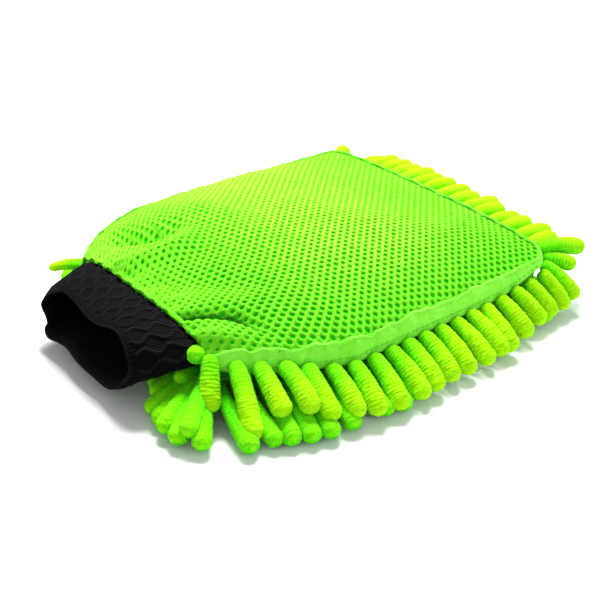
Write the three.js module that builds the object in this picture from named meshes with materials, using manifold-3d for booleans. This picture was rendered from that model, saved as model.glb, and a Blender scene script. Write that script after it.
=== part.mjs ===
// Chenille wash mitt, in millimetres.
// +X runs from the cuff to the fingertip end, +Y across the width, +Z up.
// The mitt lies palm down: the origin is the middle of its footprint on the surface it lies on.
import * as THREE from "three";
import { mergeVertices } from "three/addons/utils/BufferGeometryUtils.js";
import Module from "manifold-3d";

const wasm = await Module();
wasm.setup();

// Plan of the sewn body
const FAR_SEAM_X = 102;
const CUFF_SEAM_X = -104;
const BODY_HALF_WIDTH = 93;
const CUFF_SEAM_HALF_WIDTH = 59;
const TAPER_LENGTH = 65;
const TAPER_POWER = 1.3;
const CORNER_RADIUS = 13;

// Heights of the sewn body
const EDGE_Z = 31;
const CROWN_Z = 47;
const END_Z = 38.5;
const CUFF_TOP_Z = 42;
const CUFF_RISE_LENGTH = 50;
const CUFF_RISE_POWER = 2.2;
const CROWN_END_X = 6;
const SIDE_POWERS = [3, 0.7];
const END_POWERS = [2.5, 1];

// Fabric layers
const GAP = 0.3;
const PANEL_THICKNESS = 2;
const LINING_THICKNESS = 1.2;
const LINING_DROP = 3.3;
const LINING_EDGE_Z = 27;
const BACKING_Z = 15;
const BACKING_THICKNESS = 1.8;
const BAND_THICKNESS = 3;
const BAND_BOTTOM_Z = 14.9;
const BAND_TOP_DROP = PANEL_THICKNESS + GAP;
const INNER_INSET = BAND_THICKNESS + 2 * GAP;
const THREAD_WIDTH = 0.8;
const THREAD_HEIGHT = 1.4;
const THREAD_DROP = 3;

// Knitted cuff
const RIM_X = -135;
const RIM_LENGTH = 3.6;
const FLEX_LENGTH = 9;
const CUFF_CENTRE_Z = 29;
const RIM_CENTRE_Z = 28.5;
const RIM_HALF_WIDTH = 50;
const RIM_HALF_HEIGHT = 17.5;
const CUFF_OUTER_THICKNESS = 2.2;
const CUFF_INNER_THICKNESS = 1.5;
const CUFF_WALL = CUFF_OUTER_THICKNESS + GAP + CUFF_INNER_THICKNESS;
const CUFF_SIDES = 28;

// Chenille noodles
const NOODLE_RADIUS = 4.25;
const NOODLE_SIDES = 8;
const ROOT_CLEARANCE = 0.45;
const ROOT_Z = 18.5;
const TIP_Z = 4.45;
const NOODLE_REACH = 20.3;
const END_ROOT_DROP = 7.5;
const END_NOODLE_SAG = 3;
const END_TIP_X = 135;
const FRONT_COUNT = 19;
const FRONT_PITCH = 10.9;
const FRONT_START = 4;
const END_COUNT = 15;
const END_PITCH = 10.6;
const BACK_PITCH = 10.4;
const BACK_STRIPS = 4;
const BACK_STRIP_NOODLES = 5;
const ROOT_CORD_RADIUS = 2;
const ROOT_CORD_SIDES = 6;
const CORNER_FAN_DEG = [30, 62];

// Pile under the palm
const PILE_STRIPS = 6;
const PILE_LINES_PER_STRIP = 2;
const PILE_PITCH = 14;
const PILE_STUB_WIDTH = 13.4;
const PILE_STUB_CHAMFER = 2;
const PILE_TAPE_THICKNESS = 1.4;
const PILE_START_X = -84;
const PILE_ROWS = 13;

// Noodles that fan out under the cuff
const CUFF_NOODLE_YS = [-50, -34, -18, -2, 14, 30, 46];
const CUFF_NOODLE_ROOT = [-101, 9.2];
const CUFF_NOODLE_TIP_X = -121;
const CUFF_NOODLE_SPREAD = 1.18;
const CUFF_TAPE_SIZE = [5, 112, 4];

const green = (color, roughness = 0.95) =>
  new THREE.MeshStandardMaterial({ color, roughness, metalness: 0 });
const MATERIALS = {
  mesh: green(0x9dff3c),
  lining: green(0x1fd000),
  band: green(0x8cf03c),
  noodle: green(0xaaff10),
  thread: green(0x7de030, 0.8),
  knit: green(0x151515),
};

const mitt = new THREE.Group();

function addMesh(name, geometry, material) {
  const mesh = new THREE.Mesh(geometry, material);
  mesh.name = name;
  mitt.add(mesh);
  return mesh;
}

// ---- Joining solids ----

function toSolid(geometry) {
  const bare = new THREE.BufferGeometry();
  const source = geometry.index ? geometry.toNonIndexed() : geometry;
  bare.setAttribute("position", source.getAttribute("position"));
  const merged = mergeVertices(bare, 1e-3);
  return new wasm.Manifold(
    new wasm.Mesh({
      numProp: 3,
      vertProperties: new Float32Array(merged.getAttribute("position").array),
      triVerts: new Uint32Array(merged.index.array),
    }),
  );
}

function joined(geometries) {
  const solid = geometries.map(toSolid).reduce((sum, next) => sum.add(next));
  const mesh = solid.getMesh();
  const geometry = new THREE.BufferGeometry();
  geometry.setAttribute("position", new THREE.BufferAttribute(mesh.vertProperties, 3));
  geometry.setIndex(new THREE.BufferAttribute(mesh.triVerts, 1));
  return geometry;
}

// ---- Shape of the body ----

// Half the width of the body at x, for an outline drawn in by inset.
function halfWidth(x, inset = 0) {
  const t = THREE.MathUtils.clamp((x - CUFF_SEAM_X) / TAPER_LENGTH, 0, 1);
  const spread = 1 - (1 - t) ** TAPER_POWER;
  const width = THREE.MathUtils.lerp(CUFF_SEAM_HALF_WIDTH, BODY_HALF_WIDTH, spread) - inset;
  const past = Math.max(0, x - (FAR_SEAM_X - CORNER_RADIUS));
  const radius = CORNER_RADIUS - inset;
  return width - (radius - Math.sqrt(Math.max(0, radius ** 2 - past ** 2)));
}

const bulge = (v, [power, root]) => Math.max(0, 1 - Math.abs(v) ** power) ** root;

// Height of the crown line at x, lower at the cuff seam and at the fingertip end.
function crownZ(x, endX) {
  const rise = THREE.MathUtils.clamp((x - CUFF_SEAM_X) / CUFF_RISE_LENGTH, 0, 1);
  const top = THREE.MathUtils.lerp(CUFF_TOP_Z, CROWN_Z, 1 - (1 - rise) ** CUFF_RISE_POWER);
  const along = THREE.MathUtils.clamp((x - CROWN_END_X) / (endX - CROWN_END_X), 0, 1);
  return THREE.MathUtils.lerp(END_Z, top, bulge(along, END_POWERS));
}

// Stations along X from the cuff seam to endX, closer together where the shape turns.
const CORNER_START_X = FAR_SEAM_X - CORNER_RADIUS;
const CORNER_TURN = [0, 0.45, 0.75, 0.93, 1];
function stations(endX) {
  const straight = [CUFF_SEAM_X, -97, -88, -75, -60, -45, -25, 0, 25, 45, 60, 75];
  const turned = CORNER_TURN.map((f) => THREE.MathUtils.lerp(CORNER_START_X, endX, f));
  return [...straight, ...turned];
}

// Closed sheet between two surfaces given on the same grid of points.
function sheetGeometry(rows, columns, upper, lower) {
  const at = (side, i, j) => side * rows * columns + i * columns + j;
  const positions = [];
  for (const surface of [upper, lower]) {
    for (let i = 0; i < rows; i++) {
      for (let j = 0; j < columns; j++) {
        positions.push(...surface(i, j));
      }
    }
  }
  const index = [];
  const quad = (a, b, c, d) => index.push(a, b, c, a, c, d);
  for (let i = 0; i + 1 < rows; i++) {
    for (let j = 0; j + 1 < columns; j++) {
      quad(at(0, i, j), at(0, i + 1, j), at(0, i + 1, j + 1), at(0, i, j + 1));
      quad(at(1, i, j), at(1, i, j + 1), at(1, i + 1, j + 1), at(1, i + 1, j));
    }
  }
  for (let i = 0; i + 1 < rows; i++) {
    const last = columns - 1;
    quad(at(0, i, 0), at(1, i, 0), at(1, i + 1, 0), at(0, i + 1, 0));
    quad(at(0, i + 1, last), at(1, i + 1, last), at(1, i, last), at(0, i, last));
  }
  for (let j = 0; j + 1 < columns; j++) {
    const last = rows - 1;
    quad(at(0, 0, j + 1), at(1, 0, j + 1), at(1, 0, j), at(0, 0, j));
    quad(at(0, last, j), at(1, last, j), at(1, last, j + 1), at(0, last, j + 1));
  }
  const geometry = new THREE.BufferGeometry();
  geometry.setAttribute("position", new THREE.Float32BufferAttribute(positions, 3));
  geometry.setIndex(index);
  return geometry;
}

// ---- Fabric panels ----

// Height of the mesh panel's edge across the fingertip end.
function endEdgeZ(y) {
  const v = Math.min(1, Math.abs(y) / (BODY_HALF_WIDTH - CORNER_RADIUS));
  return THREE.MathUtils.lerp(EDGE_Z, END_Z, bulge(v, SIDE_POWERS));
}

const ACROSS = [0, 0.22, 0.44, 0.62, 0.76, 0.87, 0.95, 1];
const ACROSS_BOTH = [...ACROSS.slice(1).reverse().map((v) => -v), ...ACROSS];

function crownedSheet({ inset, edgeZ, drop, thickness }) {
  const endX = FAR_SEAM_X - inset;
  const xs = stations(endX);
  const surface = (down) => (i, j) => {
    const x = xs[i];
    const v = ACROSS_BOTH[j];
    const z = edgeZ + (crownZ(x, endX) - drop - edgeZ) * bulge(v, SIDE_POWERS);
    return [x, v * halfWidth(x, inset), z - down];
  };
  return sheetGeometry(xs.length, ACROSS_BOTH.length, surface(0), surface(thickness));
}

function outlineShape(inset) {
  const endX = FAR_SEAM_X - inset;
  const xs = stations(endX);
  const side = (sign) => xs.map((x) => new THREE.Vector2(x, sign * halfWidth(x, inset)));
  return new THREE.Shape([...side(-1), ...side(1).reverse()]);
}

function flatSheet(shape, bottomZ, thickness) {
  const geometry = new THREE.ExtrudeGeometry(shape, {
    depth: thickness,
    bevelEnabled: false,
  });
  return geometry.translate(0, 0, bottomZ);
}

function buildBodyPanels() {
  const mesh = { inset: 0, edgeZ: EDGE_Z, drop: 0, thickness: PANEL_THICKNESS };
  addMesh("mesh_top_panel", crownedSheet(mesh), MATERIALS.mesh);
  const lining = {
    inset: INNER_INSET,
    edgeZ: LINING_EDGE_Z,
    drop: LINING_DROP,
    thickness: LINING_THICKNESS,
  };
  addMesh("pocket_lining_top", crownedSheet(lining), MATERIALS.lining);
  const inner = outlineShape(INNER_INSET);
  const liningZ = BACKING_Z + BACKING_THICKNESS + GAP;
  const bottomLining = flatSheet(inner, liningZ, LINING_THICKNESS);
  addMesh("pocket_lining_bottom", bottomLining, MATERIALS.lining);
  const backing = flatSheet(inner, BACKING_Z, BACKING_THICKNESS);
  addMesh("palm_backing", backing, MATERIALS.band);
}

// ---- Edge bands and their topstitching ----

// Paths run round the body with the outside on their right, as points with the height of
// the mesh panel's edge there.
function frontPath(inset, endX = CORNER_START_X) {
  const xs = stations(FAR_SEAM_X).filter((x) => x < CORNER_START_X);
  return [...xs, endX].map((x) => ({ x, y: -halfWidth(x, inset), edgeZ: EDGE_Z }));
}

const mirrored = (path) => path.map((point) => ({ ...point, y: -point.y })).reverse();

function endPath(inset) {
  const radius = CORNER_RADIUS - inset;
  const centreY = BODY_HALF_WIDTH - CORNER_RADIUS;
  const corner = CORNER_TURN.map((f) => ({
    x: CORNER_START_X + f * radius,
    y: -centreY - Math.sqrt(1 - f ** 2) * radius,
    edgeZ: EDGE_Z,
  }));
  const across = ACROSS_BOTH.slice(1, -1).map((v) => ({
    x: CORNER_START_X + radius,
    y: v * centreY,
    edgeZ: endEdgeZ(v * centreY),
  }));
  return [...corner, ...across, ...mirrored(corner)];
}

// Wall that stands along a path between two insets and between two heights.
function wall(path, outer, inner, bottomZ, topZ) {
  const face = (inset) => {
    const points = path(inset);
    return (i, j) => {
      const { x, y, edgeZ } = points[i];
      return [x, y, j === 0 ? bottomZ(edgeZ) : topZ(edgeZ)];
    };
  };
  return sheetGeometry(path(outer).length, 2, face(outer), face(inner));
}

function buildEdgeBands() {
  const front = (inset) => frontPath(inset, CORNER_START_X - GAP);
  const paths = {
    front_edge_band: front,
    back_edge_band: (inset) => mirrored(front(inset)),
    fingertip_edge_band: endPath,
  };
  const bandTop = (edgeZ) => edgeZ - BAND_TOP_DROP;
  for (const [name, path] of Object.entries(paths)) {
    const band = wall(path, 0, BAND_THICKNESS, () => BAND_BOTTOM_Z, bandTop);
    addMesh(name, band, MATERIALS.band);
  }
  const round = (inset) => [
    ...frontPath(inset).slice(0, -1),
    ...endPath(inset),
    ...mirrored(frontPath(inset)).slice(1),
  ];
  const threadTop = (edgeZ) => edgeZ - THREAD_DROP;
  const threadBottom = (edgeZ) => threadTop(edgeZ) - THREAD_HEIGHT;
  const thread = wall(round, -GAP - THREAD_WIDTH, -GAP, threadBottom, threadTop);
  addMesh("perimeter_topstitch", thread, MATERIALS.thread);
}

// ---- Knitted cuff ----

// Section of the cuff at x, drawn in by inset: half width, half height and centre height.
function cuffSection(x, inset) {
  const t = (CUFF_SEAM_X - x) / (CUFF_SEAM_X - RIM_X);
  const seamHalfHeight = CUFF_TOP_Z - CUFF_CENTRE_Z;
  return {
    halfWidth: THREE.MathUtils.lerp(CUFF_SEAM_HALF_WIDTH, RIM_HALF_WIDTH, t) - inset,
    halfHeight: THREE.MathUtils.lerp(seamHalfHeight, RIM_HALF_HEIGHT, t) - inset,
    centreZ: THREE.MathUtils.lerp(CUFF_CENTRE_Z, RIM_CENTRE_Z, t),
  };
}

function cuffPoint(x, inset, k) {
  const section = cuffSection(x, inset);
  const angle = (2 * Math.PI * k) / CUFF_SIDES;
  const across = Math.cos(angle);
  const lift = Math.sign(Math.sin(angle)) * bulge(across, SIDE_POWERS);
  const isSide = Math.abs(Math.sin(angle)) < 1e-6;
  const y = section.halfWidth * across;
  const z = section.centreZ + (isSide ? 0 : section.halfHeight * lift);
  return [x, y, z];
}

// Open tube of knit between two stations, with walls from outerInset to innerInset.
function cuffTube(startX, endX, outerInset, innerInset) {
  const middleX = (startX + endX) / 2;
  const ring = [
    [startX, outerInset],
    [middleX, outerInset],
    [endX, outerInset],
    [endX, innerInset],
    [middleX, innerInset],
    [startX, innerInset],
  ];
  const positions = [];
  const index = [];
  for (let k = 0; k < CUFF_SIDES; k++) {
    ring.forEach(([x, inset]) => positions.push(...cuffPoint(x, inset, k)));
  }
  for (let k = 0; k < CUFF_SIDES; k++) {
    const next = (k + 1) % CUFF_SIDES;
    for (let r = 0; r < ring.length; r++) {
      const s = (r + 1) % ring.length;
      const [a, b] = [k * ring.length + r, k * ring.length + s];
      const [c, d] = [next * ring.length + s, next * ring.length + r];
      index.push(a, c, b, a, d, c);
    }
  }
  const geometry = new THREE.BufferGeometry();
  geometry.setAttribute("position", new THREE.Float32BufferAttribute(positions, 3));
  geometry.setIndex(index);
  return geometry;
}

function buildCuff() {
  const flexEnd = CUFF_SEAM_X - FLEX_LENGTH;
  const rimStart = RIM_X + RIM_LENGTH;
  const flex = cuffTube(flexEnd, CUFF_SEAM_X - GAP, 0, CUFF_WALL);
  addMesh("cuff_root_gather", flex, MATERIALS.knit);
  const knit = [rimStart + GAP, flexEnd - GAP];
  const outer = cuffTube(...knit, 0, CUFF_OUTER_THICKNESS);
  addMesh("cuff_knit_outer", outer, MATERIALS.knit);
  const inner = cuffTube(...knit, CUFF_OUTER_THICKNESS + GAP, CUFF_WALL);
  addMesh("cuff_knit_inner", inner, MATERIALS.knit);
  const rim = cuffTube(RIM_X, rimStart, 0, CUFF_WALL);
  addMesh("cuff_rim_fold", rim, MATERIALS.knit);
}

// ---- Chenille noodles ----

// Round-ended noodle from its root centre at the origin to its tip centre at +X length.
function noodleGeometry(length) {
  const r = NOODLE_RADIUS;
  const slant = Math.SQRT1_2 * r;
  const profile = [
    [0, -r],
    [slant, -slant],
    [r, 0],
    [r, length],
    [slant, length + slant],
    [0, length + r],
  ].map(([radius, along]) => new THREE.Vector2(radius, along));
  const lathe = new THREE.LatheGeometry(profile, NOODLE_SIDES, Math.PI / NOODLE_SIDES);
  return lathe.rotateZ(-Math.PI / 2);
}

const ROOT_OFFSET = NOODLE_RADIUS + ROOT_CLEARANCE;
const END_NOODLE_REACH = END_TIP_X - NOODLE_RADIUS - FAR_SEAM_X - ROOT_OFFSET;

// Straight run of a noodle from root centre to tip centre.
const noodleRun = (reach, drop) => ({
  length: Math.hypot(reach, drop),
  slope: Math.atan2(drop, reach),
});
const SIDE_RUN = noodleRun(NOODLE_REACH, ROOT_Z - TIP_Z);
const END_RUN = noodleRun(END_NOODLE_REACH, END_NOODLE_SAG);
const CORNER_ROOT_Z = EDGE_Z - END_ROOT_DROP;

// Turns a noodle lying along +X so that it points along heading and slopes down.
function noodleTurn(heading, slope) {
  const turn = new THREE.Quaternion().setFromAxisAngle(new THREE.Vector3(0, 0, 1), heading);
  const tilt = new THREE.Quaternion().setFromAxisAngle(new THREE.Vector3(0, 1, 0), slope);
  return turn.multiply(tilt);
}

function addEdgeNoodle(name, root, rootZ, heading, run) {
  const noodle = addMesh(name, noodleGeometry(run.length), MATERIALS.noodle);
  noodle.position.set(root.x, root.y, rootZ);
  noodle.quaternion.copy(noodleTurn(heading, run.slope));
}

// Points evenly spaced along one long side, with the outward heading at each.
function sideRoots(sign, count, pitch, start) {
  const step = 0.5;
  const roots = [];
  let length = 0;
  let x = CUFF_SEAM_X;
  while (roots.length < count) {
    const slope = (halfWidth(x + step) - halfWidth(x)) / step;
    if (length >= start + roots.length * pitch) {
      const outward = new THREE.Vector2(-slope, sign).normalize();
      const seam = new THREE.Vector2(x, sign * halfWidth(x));
      const root = seam.addScaledVector(outward, ROOT_OFFSET);
      roots.push({ root, heading: outward.angle() });
    }
    length += step * Math.hypot(1, slope);
    x += step;
  }
  return roots;
}

function buildFrontNoodles() {
  sideRoots(-1, FRONT_COUNT, FRONT_PITCH, FRONT_START).forEach(({ root, heading }, i) => {
    const name = "front_noodle_" + String(i + 1).padStart(2, "0");
    addEdgeNoodle(name, root, ROOT_Z, heading, SIDE_RUN);
  });
}

function buildEndNoodles() {
  for (let i = 0; i < END_COUNT; i++) {
    const y = (i - (END_COUNT - 1) / 2) * END_PITCH;
    const root = new THREE.Vector2(FAR_SEAM_X + ROOT_OFFSET, y);
    const name = "fingertip_noodle_" + String(i + 1).padStart(2, "0");
    addEdgeNoodle(name, root, endEdgeZ(y) - END_ROOT_DROP, 0, END_RUN);
  }
}

function cornerRoot(sign, fromEndDeg) {
  const heading = sign * THREE.MathUtils.degToRad(fromEndDeg);
  const centre = [CORNER_START_X, sign * (BODY_HALF_WIDTH - CORNER_RADIUS)];
  const out = new THREE.Vector2(Math.cos(heading), Math.sin(heading));
  const root = new THREE.Vector2(...centre).addScaledVector(out, CORNER_RADIUS + ROOT_OFFSET);
  return { root, heading };
}

function buildCornerNoodles() {
  CORNER_FAN_DEG.forEach((deg, i) => {
    const { root, heading } = cornerRoot(-1, deg);
    addEdgeNoodle("front_corner_noodle_" + (i + 1), root, CORNER_ROOT_Z, heading, END_RUN);
  });
  const { root, heading } = cornerRoot(1, (CORNER_FAN_DEG[0] + CORNER_FAN_DEG[1]) / 2);
  addEdgeNoodle("back_corner_noodle", root, CORNER_ROOT_Z, heading, END_RUN);
}

// The back fringe is sewn in strips: noodles joined by a straight cord at their roots, which
// runs through the middle noodle's root, the one furthest out.
function buildBackFringe() {
  const roots = sideRoots(1, BACK_STRIPS * BACK_STRIP_NOODLES, BACK_PITCH, FRONT_START);
  for (let s = 0; s < BACK_STRIPS; s++) {
    const strip = roots.slice(s * BACK_STRIP_NOODLES, (s + 1) * BACK_STRIP_NOODLES);
    const run = strip[strip.length - 1].root.clone().sub(strip[0].root);
    const origin = strip[Math.floor(strip.length / 2)].root;
    const local = run.angle();
    const pieces = strip.map(({ root, heading }) => {
      const along = root.clone().sub(origin).rotateAround(new THREE.Vector2(), -local);
      const noodle = noodleGeometry(SIDE_RUN.length);
      noodle.applyQuaternion(noodleTurn(heading - local, SIDE_RUN.slope));
      return noodle.translate(along.x, along.y, 0);
    });
    const cord = new THREE.CylinderGeometry(
      ROOT_CORD_RADIUS,
      ROOT_CORD_RADIUS,
      run.length(),
      ROOT_CORD_SIDES,
    );
    const mesh = addMesh(
      "back_noodle_strip_" + (s + 1),
      joined([cord.rotateZ(Math.PI / 2), ...pieces]),
      MATERIALS.noodle,
    );
    mesh.position.set(origin.x, origin.y, ROOT_Z);
    mesh.rotation.z = local;
  }
}

// ---- Pile under the palm and under the cuff ----

// Noodles pressed flat by the mitt's weight: a chamfered square stub with a flat end.
function pileStub(x, y, height) {
  const half = PILE_STUB_WIDTH / 2;
  const cut = half - PILE_STUB_CHAMFER;
  const corners = [[half, cut], [cut, half], [-cut, half], [-half, cut]];
  const turned = corners.map(([u, v]) => [-u, -v]);
  const outline = [...corners, ...turned].map(([u, v]) => new THREE.Vector2(x + u, y + v));
  return flatSheet(new THREE.Shape(outline), 0, height);
}

// One line of stubs along X under a tape, as long as the body is wide enough for it.
function pileLine(y, tapeWidth) {
  const tapeTop = BACKING_Z - GAP;
  const stubHeight = tapeTop - PILE_TAPE_THICKNESS / 2;
  const clearance = Math.abs(y) + PILE_PITCH / 2 + INNER_INSET;
  const rows = Array.from({ length: PILE_ROWS }, (_, row) => PILE_START_X + row * PILE_PITCH);
  const xs = rows.filter((x) => halfWidth(x - PILE_STUB_WIDTH / 2) >= clearance);
  const length = xs[xs.length - 1] - xs[0] + PILE_STUB_WIDTH;
  const middleX = (xs[0] + xs[xs.length - 1]) / 2;
  const tape = new THREE.BoxGeometry(length, tapeWidth, PILE_TAPE_THICKNESS);
  tape.translate(middleX, y, tapeTop - PILE_TAPE_THICKNESS / 2);
  return [tape, ...xs.map((x) => pileStub(x, y, stubHeight))];
}

function buildPalmPile() {
  const stripWidth = PILE_LINES_PER_STRIP * PILE_PITCH;
  const tapeWidth = PILE_PITCH - GAP;
  for (let s = 0; s < PILE_STRIPS; s++) {
    const centreY = (s - (PILE_STRIPS - 1) / 2) * stripWidth;
    const pieces = [];
    for (let line = 0; line < PILE_LINES_PER_STRIP; line++) {
      const offset = line - (PILE_LINES_PER_STRIP - 1) / 2;
      pieces.push(...pileLine(centreY + offset * (PILE_PITCH - GAP), tapeWidth + GAP / 2));
    }
    addMesh("palm_noodle_strip_" + (s + 1), joined(pieces), MATERIALS.noodle);
  }
}

function buildCuffNoodles() {
  const [rootX, rootZ] = CUFF_NOODLE_ROOT;
  const pieces = CUFF_NOODLE_YS.map((y) => {
    const root = new THREE.Vector3(rootX, y, rootZ);
    const tip = new THREE.Vector3(CUFF_NOODLE_TIP_X, y * CUFF_NOODLE_SPREAD, TIP_Z);
    const run = tip.clone().sub(root);
    const heading = Math.atan2(run.y, run.x);
    const slope = Math.atan2(-run.z, Math.hypot(run.x, run.y));
    const noodle = noodleGeometry(run.length());
    return noodle.applyQuaternion(noodleTurn(heading, slope)).translate(...root);
  });
  const tape = new THREE.BoxGeometry(...CUFF_TAPE_SIZE).translate(rootX, 0, rootZ);
  addMesh("cuff_noodle_strip", joined([tape, ...pieces]), MATERIALS.noodle);
}

buildBodyPanels();
buildEdgeBands();
buildCuff();
buildFrontNoodles();
buildEndNoodles();
buildCornerNoodles();
buildBackFringe();
buildPalmPile();
buildCuffNoodles();

export default mitt;
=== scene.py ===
"""Chenille wash mitt: visual model over the CAD frame. Shapes are made in millimetres."""

import math

import bpy
import numpy as np
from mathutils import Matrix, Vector


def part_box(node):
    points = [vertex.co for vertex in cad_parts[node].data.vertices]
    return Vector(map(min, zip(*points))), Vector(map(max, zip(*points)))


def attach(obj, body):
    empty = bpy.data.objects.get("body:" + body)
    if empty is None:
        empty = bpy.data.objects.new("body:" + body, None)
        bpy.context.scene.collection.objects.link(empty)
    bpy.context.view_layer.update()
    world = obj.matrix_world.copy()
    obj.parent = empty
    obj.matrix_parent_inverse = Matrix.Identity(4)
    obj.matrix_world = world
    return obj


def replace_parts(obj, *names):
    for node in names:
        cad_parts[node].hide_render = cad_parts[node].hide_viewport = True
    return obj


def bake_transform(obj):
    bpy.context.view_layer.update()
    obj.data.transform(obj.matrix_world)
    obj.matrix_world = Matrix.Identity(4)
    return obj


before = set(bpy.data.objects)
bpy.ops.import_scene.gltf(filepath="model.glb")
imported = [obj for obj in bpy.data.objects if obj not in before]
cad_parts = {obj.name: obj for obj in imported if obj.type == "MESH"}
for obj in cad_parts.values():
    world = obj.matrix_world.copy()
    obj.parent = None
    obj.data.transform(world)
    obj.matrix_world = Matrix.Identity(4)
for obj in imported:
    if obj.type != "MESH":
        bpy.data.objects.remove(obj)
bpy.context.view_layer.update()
MM = 0.001

# Body
CUFF_X, END_X, END_SKEW = -104.0, 101.0, 3.5
HALF, CUFF_HALF = 96.0, 60.0
FRONT_HALF, BACK_HALF = 94.5, 97.5
TAPER, FRONT_TAPER, BACK_TAPER = 65.0, 1.35, 1.85
CORNER_R = 9.0
EDGE_Z, CROWN_Z, CUFF_Z, END_Z = 31.5, 48.5, 41.5, 40.0
LINING_DEPTH = 1.0
POCKET_FLOOR_Z, GROUND_Z = 18.2, 15.8

# Mesh fabric
PITCH, LATTICE_TURN = 4.15, math.radians(16)
HOLE = 1.2
RIB_ACROSS, RIB_LIFT = LATTICE_TURN - math.radians(60), 0.22
CELL_POINTS, LATTICE_REACH = 12, 40
# Rings of points in a cell, from its outer edge to its hole: share of the way out to the edge
# (None: on it; below 0: into the hole by that much), height, painted light (low is painted shade down into
# the hole), share of the rib
CELL_RINGS = [
    (None, 0.42, 0.85, 1.0), (0.55, 0.34, 0.8, 0.9), (0.0, -0.05, 0.5, 0.5), (-0.04, -0.75, 0.05, 0.0),
]

# Cuff
RIM_X = -133.0
CUFF_MID_Z, RIM_MID_Z = 28.5, 28.0


def smooth(a, b, x):
    t = np.clip((np.asarray(x, float) - a) / (b - a), 0, 1)
    return t * t * (3 - 2 * t)


def lerp(a, b, t):
    return a + (b - a) * t


def wobble(x, seed, waves=((1.0, 1.0), (2.3, 0.6), (4.1, 0.35))):
    """Smooth, repeatable variation along x, about -1 to 1."""
    x = np.asarray(x, float)
    phase = np.random.default_rng(seed).uniform(0, 2 * math.pi, len(waves))
    total = sum(a for _, a in waves)
    return sum(a * np.sin(x * f + p) for (f, a), p in zip(waves, phase)) / total


# ---- Mesh and material helpers ----


def add_mesh(name, points, faces, material, smooth_faces=True):
    mesh = bpy.data.meshes.new(name)
    mesh.from_pydata((np.asarray(points) * MM).tolist(), [], [list(map(int, f)) for f in faces])
    mesh.polygons.foreach_set("use_smooth", [smooth_faces] * len(mesh.polygons))
    mesh.materials.append(material)
    mesh.update()
    obj = bpy.data.objects.new(name, mesh)
    bpy.context.collection.objects.link(obj)
    return obj


def paint(obj, name, values):
    """Keeps one number per point for the material to read."""
    attribute = obj.data.attributes.new(name, "FLOAT", "POINT")
    attribute.data.foreach_set("value", np.asarray(values, np.float32))


def grid_faces(rows, columns, wrap=False, start=0):
    """Quads over a rows x columns grid of points; wrap joins the last column to the first."""
    i, j = np.meshgrid(np.arange(rows - 1), np.arange(columns if wrap else columns - 1), indexing="ij")
    k = (j + 1) % columns
    quads = np.stack([i * columns + j, (i + 1) * columns + j, (i + 1) * columns + k, i * columns + k], -1)
    return quads.reshape(-1, 4) + start


class Nodes:
    """A material's node tree, with short ways to add and join nodes."""

    def __init__(self, name):
        self.material = bpy.data.materials.new(name)
        self.material.use_nodes = True
        self.tree = self.material.node_tree
        self.shader = self.tree.nodes["Principled BSDF"]

    def add(self, kind, **settings):
        node = self.tree.nodes.new(kind)
        for key, value in settings.items():
            setattr(node, key, value)
        return node

    def join(self, output, socket):
        self.tree.links.new(output, socket)

    def coordinates(self, scale=(1, 1, 1)):
        place = self.add("ShaderNodeTexCoord")
        mapping = self.add("ShaderNodeMapping")
        mapping.inputs["Scale"].default_value = scale
        self.join(place.outputs["Object"], mapping.inputs["Vector"])
        return mapping.outputs["Vector"]

    def noise(self, scale, detail=3.0, roughness=0.55, stretch=(1, 1, 1)):
        node = self.add("ShaderNodeTexNoise")
        node.inputs["Scale"].default_value = scale
        node.inputs["Detail"].default_value = detail
        node.inputs["Roughness"].default_value = roughness
        self.join(self.coordinates(stretch), node.inputs["Vector"])
        return node.outputs["Fac"]

    def wave(self, scale, direction="X", distortion=0.0, stretch=(1, 1, 1)):
        node = self.add("ShaderNodeTexWave", bands_direction=direction)
        node.inputs["Scale"].default_value = scale
        node.inputs["Distortion"].default_value = distortion
        self.join(self.coordinates(stretch), node.inputs["Vector"])
        return node.outputs["Fac"]

    def attribute(self, name):
        return self.add("ShaderNodeAttribute", attribute_name=name).outputs["Fac"]

    def ramp(self, factor, stops):
        node = self.add("ShaderNodeValToRGB")
        band = node.color_ramp
        while len(band.elements) < len(stops):
            band.elements.new(0.5)
        for element, (position, colour) in zip(band.elements, stops):
            element.position = position
            element.color = (*colour, 1)
        self.join(factor, node.inputs["Fac"])
        return node.outputs["Color"]

    def mix(self, factor, a, b, blend="MIX"):
        node = self.add("ShaderNodeMix", data_type="RGBA", blend_type=blend)
        for value, socket in ((factor, node.inputs[0]), (a, node.inputs[6]), (b, node.inputs[7])):
            if isinstance(value, (int, float)):
                socket.default_value = value
            elif isinstance(value, tuple):
                socket.default_value = (*value, 1)
            else:
                self.join(value, socket)
        return node.outputs[2]

    def maths(self, operation, a, b):
        node = self.add("ShaderNodeMath", operation=operation)
        for value, socket in ((a, node.inputs[0]), (b, node.inputs[1])):
            if isinstance(value, (int, float)):
                socket.default_value = value
            else:
                self.join(value, socket)
        return node.outputs[0]

    def bump(self, heights):
        """Bumps from several (height, strength, distance in metres)."""
        normal = None
        for height, strength, distance in heights:
            node = self.add("ShaderNodeBump")
            node.inputs["Strength"].default_value = strength
            node.inputs["Distance"].default_value = distance
            self.join(height, node.inputs["Height"])
            if normal is not None:
                self.join(normal, node.inputs["Normal"])
            normal = node.outputs["Normal"]
        self.join(normal, self.shader.inputs["Normal"])

    def cloth(self, colour, roughness=0.9, sheen=0.3, sheen_tint=(1, 1, 1)):
        inputs = self.shader.inputs
        self.join(colour, inputs["Base Color"])
        inputs["Roughness"].default_value = roughness
        inputs["Specular IOR Level"].default_value = 0.2
        inputs["Sheen Weight"].default_value = sheen
        inputs["Sheen Roughness"].default_value = 0.5
        inputs["Sheen Tint"].default_value = (*sheen_tint, 1)


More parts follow.
